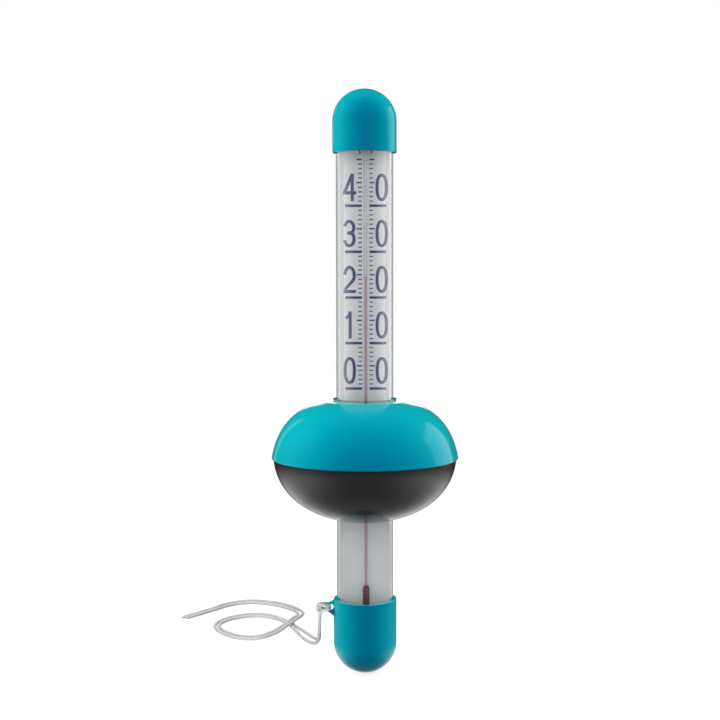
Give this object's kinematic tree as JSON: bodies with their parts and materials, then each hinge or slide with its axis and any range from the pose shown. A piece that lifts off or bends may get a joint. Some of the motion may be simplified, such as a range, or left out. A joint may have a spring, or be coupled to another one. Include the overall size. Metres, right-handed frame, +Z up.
{
  "type": "floating pool thermometer",
  "caption": "Floating pool thermometer: weighted clear tube with a spirit scale, dome caps, two-part disc float and a tether cord on an eye.",
  "frame": {"origin": "foot of the lower dome, on the tube's axis", "axes": "+Z up along the tube towards the upper dome; -Y is the side that the scale faces; the tether eye is on the -X side"},
  "size_m": [0.1844, 0.2256, 0.35],
  "materials": {
    "turquoise_plastic": "glossy moulded turquoise plastic",
    "dark_grey_plastic": "glossy moulded dark grey plastic",
    "clear_plastic": "clear acrylic",
    "clear_glass": "clear drawn glass",
    "white_plate": "satin white sheet",
    "scale_ink": "printed navy ink",
    "white_plastic": "moulded white plastic",
    "red_spirit": "dyed red spirit",
    "steel_wire": "bright spring wire",
    "ballast_steel": "plain turned steel slug",
    "black_rubber": "soft moulded rubber",
    "grey_foam": "closed cell foam",
    "white_cord": "braided synthetic cord"
  },
  "bodies": {
    "root": {"top_cap": "turquoise_plastic", "top_seal": "black_rubber", "outer_tube": "clear_plastic", "collar_ring": "clear_plastic", "upper_plate_holder": "white_plastic", "scale_plate": "white_plate", "scale_markings": "scale_ink", "lower_plate_holder": "white_plastic", "glass_stem": "clear_glass", "bulb_liquid": "red_spirit", "stem_clips": "steel_wire", "bulb_cushion": "black_rubber", "float_upper_shell": "turquoise_plastic", "float_lower_shell": "dark_grey_plastic", "float_rim_seal": "black_rubber", "float_hub_seal": "black_rubber", "bottom_cap": "turquoise_plastic", "bottom_seal": "black_rubber", "ballast_weight": "ballast_steel", "ballast_pad": "grey_foam", "cord_hitch": "white_cord", "cord_strand_a": "white_cord", "cord_strand_b": "white_cord"},
    "liquid": {"liquid_column": "red_spirit"}
  },
  "joints": [
    {"name": "liquid_rise", "type": "slide", "parent": "root", "child": "liquid", "axis": [0, 0, 1], "range_m": [-0.0666, 0.0694], "deforming": ["liquid_column"]}
  ]
}
